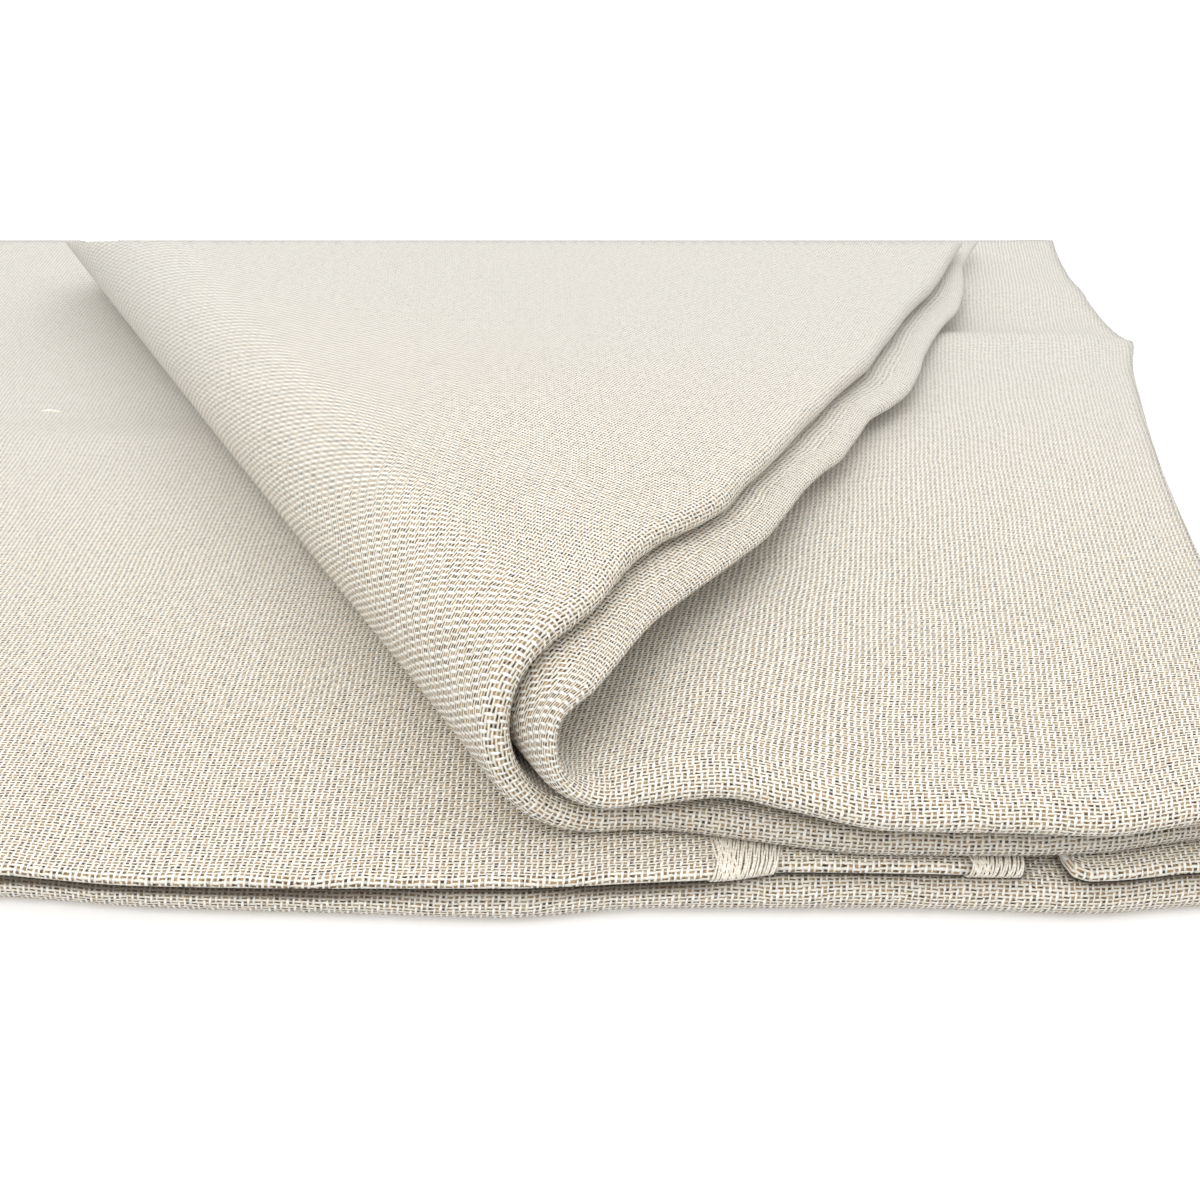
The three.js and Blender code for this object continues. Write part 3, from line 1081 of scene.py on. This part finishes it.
@dataclass
class DustSheet:
    """The folded cloth as one thin closed mesh, in millimetres but for its flat size and area."""

    form: FoldedForm = field(default_factory=FoldedForm)
    finish: TwillCotton = field(default_factory=TwillCotton)
    name: str = "folded_dust_sheet"
    thickness: float = CLOTH_THICKNESS
    face_skew: float = 0.19
    skew_start: float = 8.0
    guide_x: float = 60.0
    guide_samples: int = 33
    ground_fold_share: float = 0.65
    # Strengths and places of the painted shade under the lip, on the strip and in the hems.
    crevice_shade: float = 0.52
    under_lip_shade: float = 0.32
    strip_shade: float = 0.2
    strip_fade: tuple = (-6.0, 12.0)
    hem_shade: float = 0.7
    hem_depth: float = 5.0
    hems: tuple = ((17.6, 28.2), (57.2, 66.0))
    flat_area: float = field(init=False, default=0.0)
    flat_size: tuple = field(init=False, default=(0.0, 0.0))

    def rows(self) -> list[dict]:
        """Works out the rows of points along the sheet.

        Returns:
            For each row its points, thread coordinates, places, keys and first joined point.
        """
        rows = []
        travelled = 0.0
        last = self.guide(0, 0.0)
        for index in range(len(STRETCHES)):
            steps = self.steps(index)
            for step in range(0 if index == 0 else 1, steps + 1):
                v = step / steps
                here = self.guide(index, v)
                travelled += float(np.linalg.norm(here - last))
                last = here
                places, keys = self.form.row(index, v)
                x, y, z, _ = self.form.place(index, v, places)
                across = places - self.skew(index, float(here[0]))
                join = 0
                if index == BED_INDEX and step == steps:
                    join = int(np.argmin(np.abs(places - self.form.main_left)))
                rows.append(
                    {
                        "points": np.stack([x, y, z], 1),
                        "threads": np.stack([across, np.full_like(places, travelled)], 1),
                        "places": places,
                        "keys": keys,
                        "join": join,
                        "painted_shade": self.painted_shade(index, v, places),
                    }
                )
        return rows

    def guide(self, index: int, v: float) -> np.ndarray:
        """Depth and height of a row where the length of the sheet is measured."""
        return np.concatenate(self.form.lying(index, v, np.array([self.guide_x])))

    def steps(self, index: int) -> int:
        """Number of rows in a stretch.

        Args:
            index: Which stretch of the sheet.

        Returns:
            The number, from the stretch's length and its spacing.
        """
        shares = np.linspace(0, 1, self.guide_samples)
        line = np.array([self.guide(index, share) for share in shares])
        length = float(np.linalg.norm(np.diff(line, axis=0), axis=1).sum())
        return max(2, round(length / STRETCHES[index].spacing))

    def painted_shade(self, index: int, v: float, x: np.ndarray) -> np.ndarray:
        """How dark the painted shade on a row is: under the lip, on the strip, and in the hems.

        Args:
            index: Which stretch of the sheet.
            v: Share of the way along it.
            x: Places of the points across the stack.

        Returns:
            The painted shade at each place, from 0 to 1.
        """
        y, _ = self.form.lying(index, v, x)
        lip = self.form.nose(Fold.LIP, x)
        top_of_ground_fold = index == LEDGE_INDEX - 1 and v > self.ground_fold_share
        if LEDGE_INDEX <= index <= LEDGE_INDEX + 2 or top_of_ground_fold:
            # Painted shade along and under the lip's nose.
            edge = self.crevice_shade * smooth(lip - 0.2, lip + 0.5, y)
            return edge + self.under_lip_shade * smooth(lip - 2.2, lip, y)
        # Painted shade on the outer fold and the strip, fading in towards the right.
        if index in (OUTER_INDEX, OUTER_INDEX + 1):
            return self.strip_shade * smooth(*self.strip_fade, x)
        total = 0.0 * x
        # Painted shade on the cloth under the hem stitches, so the gaps between them look dark.
        if index in (BED_INDEX - 1, BED_INDEX):
            for start, end in self.hems:
                total = total + smooth(start - 1, start + 1, x) * (1 - smooth(end - 1, end + 1, x))
            back = lip + self.hem_depth
            total = total * self.hem_shade * (1 - smooth(back, back + 2, y))
        return total

    def skew(self, index: int, y: float) -> float:
        """How far the face's threads have leant over at a depth."""
        leant = self.face_skew * (y - self.skew_start)
        return leant if STRETCHES[index].part is Leaf.FACE else 0.0

    @staticmethod
    def strip(before: dict, after: dict, first_before: int, first_after: int) -> list[tuple]:
        """Triangles between two rows, stepping along whichever row is behind.

        Args:
            before: The first row.
            after: The row after it.
            first_before: Number of the first row's first point.
            first_after: Number of the second row's first point.

        Returns:
            The triangles as triples of point numbers.
        """
        by_keys = before["keys"] is not before["places"] or after["keys"] is after["places"]
        a = before["keys"] if by_keys else before["places"]
        b = after["keys"] if by_keys else after["places"]
        i, j = before["join"], 0
        triangles = []
        while i < len(a) - 1 or j < len(b) - 1:
            next_a = a[i + 1] if i < len(a) - 1 else math.inf
            next_b = b[j + 1] if j < len(b) - 1 else math.inf
            if next_a < next_b:
                triangles.append((first_before + i, first_before + i + 1, first_after + j))
                i += 1
            else:
                triangles.append((first_before + i, first_after + j + 1, first_after + j))
                j += 1
        return triangles

    def middle(self) -> tuple[np.ndarray, np.ndarray, np.ndarray, np.ndarray]:
        """Works out the cloth's middle.

        Returns:
            Points, thread coordinates, painted shades and triangles.
        """
        rows = self.rows()
        points = np.concatenate([row["points"] for row in rows])
        threads = np.concatenate([row["threads"] for row in rows])
        painted_shade = np.concatenate([row["painted_shade"] for row in rows])
        triangles = []
        first = 0
        for before, after in zip(rows, rows[1:]):
            following = first + len(before["points"])
            triangles += self.strip(before, after, first, following)
            first = following
        return points, threads, painted_shade, np.array(triangles)

    def build(self) -> bpy.types.Object:
        """Makes the cloth's mesh.

        Returns:
            The object.
        """
        points, threads, painted_shade, triangles = self.middle()
        a, b, c = (points[triangles[:, k]] for k in range(3))
        normal = np.zeros_like(points)
        faced = np.cross(b - a, c - a)
        for k in range(3):
            np.add.at(normal, triangles[:, k], faced)
        normal /= np.linalg.norm(normal, axis=1)[:, None]
        offset = normal * self.thickness / 2
        count = len(points)
        both = np.concatenate([points + offset, points - offset])
        sides = np.concatenate([triangles, triangles[:, ::-1] + count])
        edges = {}
        for k in range(3):
            for start, end in zip(triangles[:, k], triangles[:, (k + 1) % 3]):
                edges[(int(start), int(end))] = True
        rim = [(s, e) for s, e in edges if (e, s) not in edges]
        walls = [(e, s, s + count) for s, e in rim] + [(e, s + count, e + count) for s, e in rim]
        both[:, 1] -= ORIGIN_DEPTH
        mesh = bpy.data.meshes.new(self.name)
        mesh.from_pydata((both * MM).tolist(), [], sides.tolist() + walls)
        layer = mesh.uv_layers.new(name="threads")
        loops = np.zeros(len(mesh.loops), np.int32)
        mesh.loops.foreach_get("vertex_index", loops)
        layer.uv.foreach_set("vector", threads[loops % count].astype(np.float32).ravel())
        # The painted shade goes to the material as a point attribute.
        shade = mesh.attributes.new("painted_shade", "FLOAT", "POINT")
        shade.data.foreach_set("value", np.concatenate([painted_shade, painted_shade]).astype(np.float32))
        mesh.shade_smooth()
        piece = bpy.data.objects.new(self.name, mesh)
        bpy.context.scene.collection.objects.link(piece)
        self.measure_flat(threads, triangles)
        LOG.info("cloth: %d triangles, area %.4f", len(mesh.polygons), self.flat_area)
        return piece

    def measure_flat(self, threads: np.ndarray, triangles: np.ndarray) -> None:
        """Measures the cloth laid flat, in metres.

        Args:
            threads: Thread coordinates of the points.
            triangles: Triangles of the cloth's middle.
        """
        a, b, c = (threads[triangles[:, k]] for k in range(3))
        doubled = (b - a)[:, 0] * (c - a)[:, 1] - (b - a)[:, 1] * (c - a)[:, 0]
        self.flat_area = float(np.abs(doubled).sum() / 2) * MM * MM
        self.flat_size = tuple((np.ptp(threads, axis=0) * MM).tolist())

    def dress(self, piece: bpy.types.Object) -> None:
        """Args:
            piece: The cloth.
        """
        piece.data.materials.append(self.finish.build())
        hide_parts("dust_sheet")
        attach(piece, "root")


@dataclass(frozen=True)
class StitchRun:
    """Stitches side by side along the lip, their tops standing to the right by the lean."""

    start: float
    end: float
    lean: float


@dataclass
class HemStitches:
    """A patch of close overlock stitches wrapped over the lip of the lower fold."""

    name: str
    runs: tuple
    pitch: float = 0.43
    radius: float = 0.17
    top_reach: float = 7.0
    sides: int = 7
    tangent_step: float = 1e-3
    cloth_half: float = CLOTH_THICKNESS / 2
    form: FoldedForm = field(default_factory=FoldedForm)

    def profile(self, x: float) -> list[tuple[int, float]]:
        """Places along the cloth that a stitch passes, from under the lip to the top.

        Args:
            x: Place of the stitch along the lip.

        Returns:
            Stretch and share of it for each sample.
        """
        lip = BED_INDEX - 1
        marks = [(lip - 1, 1 - share) for share in (0.05, 0.03, 0.015)]
        marks += [(lip, v) for v in np.linspace(0, 1, 8)]
        here = np.array([x])
        start, end = (float(self.form.lying(BED_INDEX, v, here)[0][0]) for v in (0.0, 1.0))
        marks += [(BED_INDEX, v) for v in np.linspace(0, self.top_reach / (end - start), 8)[1:]]
        return marks

    def stitch(self, x: float, lean: float, seed: float) -> tuple[np.ndarray, np.ndarray]:
        """Middle line of one stitch and the direction away from the cloth along it.

        Args:
            x: Place of its lower end along the lip.
            lean: How far its upper end stands to the right.
            seed: Number that its unevenness comes from.

        Returns:
            Points and outward directions.
        """
        marks = self.profile(x)
        points, outward = [], []
        for n, (index, v) in enumerate(marks):
            share = n / (len(marks) - 1)
            wave = 0.09 * math.sin(seed * 2.4 + share * 7.0)
            wave += 0.05 * math.sin(seed * 5.1 + share * 13.0)
            here = np.array([x + lean * share + wave])
            before, after = max(v - self.tangent_step, 0.0), min(v + self.tangent_step, 1.0)
            y0, z0 = (float(value[0]) for value in self.form.lying(index, before, here))
            y1, z1 = (float(value[0]) for value in self.form.lying(index, after, here))
            y, z = (float(value[0]) for value in self.form.lying(index, v, here))
            tangent = np.array([y1 - y0, z1 - z0]) / max(math.hypot(y1 - y0, z1 - z0), 1e-9)
            normal = np.array([0.0, -tangent[1], tangent[0]])
            rise = self.cloth_half + self.radius * (0.8 + 0.5 * math.sin(seed * 3.7))
            points.append(np.array([here[0], y, z]) + normal * rise)
            outward.append(normal)
        return np.array(points), np.array(outward)

    def build(self) -> bpy.types.Object:
        """Makes the patch as tubes, one a stitch.

        Returns:
            The object.
        """
        verts, faces = [], []
        for run in self.runs:
            for k in range(int((run.end - run.start) / self.pitch)):
                x, seed = run.start + k * self.pitch, k * 1.7 + run.start
                points, outward = self.stitch(x, run.lean, seed)
                tube(points, outward, self.radius, self.sides, verts, faces)
        return thread_object(self.name, verts, faces)


@dataclass
class Slub:
    """A thick place in one thread that stands on the cloth, lying across it."""

    name: str
    x: float
    y: float
    length: float
    radius: float
    samples: int = 15
    sides: int = 8
    form: FoldedForm = field(default_factory=FoldedForm)

    def build(self) -> bpy.types.Object:
        """Makes the slub as one tapered tube.

        Returns:
            The object.
        """
        share = np.linspace(0, 1, self.samples)
        x = self.x + self.length * (share - 0.5)
        y = self.y + 0.25 * np.sin(share * 5.0)
        z = self.form.bed_height(x, y) + CLOTH_THICKNESS / 2
        points = np.stack([x, y, z], 1)
        outward = np.tile([0.0, 0.0, 1.0], (len(share), 1))
        radius = self.radius * np.sin(np.pi * np.clip(share, 0.04, 0.96)) ** 0.7
        verts, faces = [], []
        tube(points, outward, radius, self.sides, verts, faces)
        return thread_object(self.name, verts, faces)


def tube(
    points: np.ndarray,
    outward: np.ndarray,
    radius: float | np.ndarray,
    sides: int,
    verts: list,
    faces: list,
) -> None:
    """Adds a closed tube round a line of points.

    Args:
        points: The line.
        outward: A direction across the line at each point.
        radius: Its radius, or one for each point.
        sides: Number of its sides.
        verts: List that the corners are added to.
        faces: List that the faces are added to.
    """
    first = len(verts)
    tangent = np.gradient(points, axis=0)
    tangent /= np.linalg.norm(tangent, axis=1)[:, None]
    across = np.cross(tangent, outward)
    across /= np.linalg.norm(across, axis=1)[:, None]
    up = np.cross(across, tangent)
    angle = np.arange(sides) * math.tau / sides
    ring = across[:, None] * np.cos(angle)[None, :, None]
    ring = ring + up[:, None] * np.sin(angle)[None, :, None]
    size = np.broadcast_to(radius, (len(points),))[:, None, None]
    verts += (points[:, None] + ring * size).reshape(-1, 3).tolist()
    for n in range(len(points) - 1):
        for k in range(sides):
            a, b = first + n * sides + k, first + n * sides + (k + 1) % sides
            faces.append((a, b, b + sides, a + sides))
    last = first + (len(points) - 1) * sides
    faces.append(tuple(range(first + sides - 1, first - 1, -1)))
    faces.append(tuple(range(last, last + sides)))


def thread_object(name: str, verts: list, faces: list) -> bpy.types.Object:
    """Makes a smooth object of corners given in millimetres from the front of the stack.

    Args:
        name: Its name.
        verts: Its corners.
        faces: Its faces.

    Returns:
        The object.
    """
    mesh = bpy.data.meshes.new(name)
    corners = (np.array(verts) - [0.0, ORIGIN_DEPTH, 0.0]) * MM
    mesh.from_pydata(corners.tolist(), [], faces)
    mesh.shade_smooth()
    mesh.materials.append(bpy.data.materials.get(SewingCotton.name) or SewingCotton().build())
    piece = bpy.data.objects.new(name, mesh)
    bpy.context.scene.collection.objects.link(piece)
    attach(piece, "root")
    return piece


@dataclass(frozen=True)
class SoftLight:
    """One square light aimed at the cloth, with its place and side in metres and its watts."""

    name: str
    place: tuple
    size: float
    power: float

    def build(self) -> None:
        """Hangs the light."""
        data = bpy.data.lights.new(self.name, "AREA")
        data.size = self.size
        data.energy = self.power
        light = bpy.data.objects.new(self.name, data)
        light.location = self.place
        light.rotation_euler = (-Vector(self.place)).to_track_quat("-Z", "Y").to_euler()
        bpy.context.scene.collection.objects.link(light)


@dataclass
class Studio:
    """Pale floor, soft light and the camera at the photograph's angle."""

    camera_back: float = 127.7
    camera_height: float = 163.5
    pitch: float = 38.0
    lens: float = 38.4
    sensor: float = 36.0
    floor_size: float = 6.0
    floor_gap: float = 0.0002
    floor_white: float = 0.98
    sky_strength: float = 0.82
    soft_lights: tuple = (
        SoftLight("overhead", (-0.15, 0.25, 1.0), 1.6, 4.2),
        SoftLight("key", (-0.5, -0.95, 1.9), 1.0, 14.4),
        SoftLight("fill", (0.9, -0.1, 1.2), 1.0, 2.6),
    )

    def build(self) -> None:
        """Makes the floor, the lights, the world and the camera."""
        self.floor()
        self.camera()
        self.lights()

    def floor(self) -> None:
        """Lays the floor just under the cloth."""
        half = self.floor_size / 2
        mesh = bpy.data.meshes.new("floor")
        corners = [(-half, -half, 0), (half, -half, 0), (half, half, 0), (-half, half, 0)]
        mesh.from_pydata(corners, [], [(0, 1, 2, 3)])
        floor = bpy.data.objects.new("floor", mesh)
        floor.location = (0, 0, -self.floor_gap)
        bpy.context.scene.collection.objects.link(floor)
        material = bpy.data.materials.new("pale_floor")
        material.use_nodes = True
        shader = material.node_tree.nodes["Principled BSDF"]
        shader.inputs["Base Color"].default_value = (*[self.floor_white] * 3, 1.0)
        shader.inputs["Roughness"].default_value = 0.9
        mesh.materials.append(material)
        floor.visible_diffuse = False

    def camera(self) -> None:
        """Sets the camera where the photograph was taken from."""
        data = bpy.data.cameras.new("camera")
        data.lens = self.lens
        data.sensor_width = self.sensor
        data.clip_start = 0.005
        camera = bpy.data.objects.new("camera", data)
        camera.location = (0, -(self.camera_back + ORIGIN_DEPTH) * MM, self.camera_height * MM)
        camera.rotation_euler = (math.radians(90 - self.pitch), 0, 0)
        bpy.context.scene.collection.objects.link(camera)
        bpy.context.scene.camera = camera

    def lights(self) -> None:
        """Hangs large soft lights over the cloth and lights the surroundings."""
        for light in self.soft_lights:
            light.build()
        world = bpy.data.worlds.new("surroundings")
        world.use_nodes = True
        sky = world.node_tree.nodes["Background"]
        sky.inputs["Color"].default_value = (1.0, 1.0, 1.0, 1.0)
        sky.inputs["Strength"].default_value = self.sky_strength
        bpy.context.scene.world = world
        bpy.context.scene.view_settings.view_transform = "Standard"


def sewn_pieces() -> tuple:
    """Lists what is sewn to the cloth or stands on it.

    Returns:
        The pieces, placed in millimetres from the front of the stack.
    """
    middle = (StitchRun(16.2, 26.4, 3.2), StitchRun(20.0, 23.2, -2.6))
    right = (StitchRun(56.2, 64.4, 3.0), StitchRun(59.4, 62.0, -2.8))
    return (
        HemStitches("hem_stitches_middle", middle),
        HemStitches("hem_stitches_right", right),
        Slub("bed_slub", x=-137.5, y=154.0, length=5.4, radius=0.42),
    )


def main() -> None:
    """Builds the scene piece by piece around the CAD frame."""
    logging.basicConfig(level=logging.INFO)
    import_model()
    Studio().build()
    cloth = DustSheet()
    piece = cloth.build()
    LOG.info("built %s", piece.name)
    for part in sewn_pieces():
        part.build()
        LOG.info("built %s", part.name)
    cloth.dress(piece)


if __name__ == "__main__":
    main()
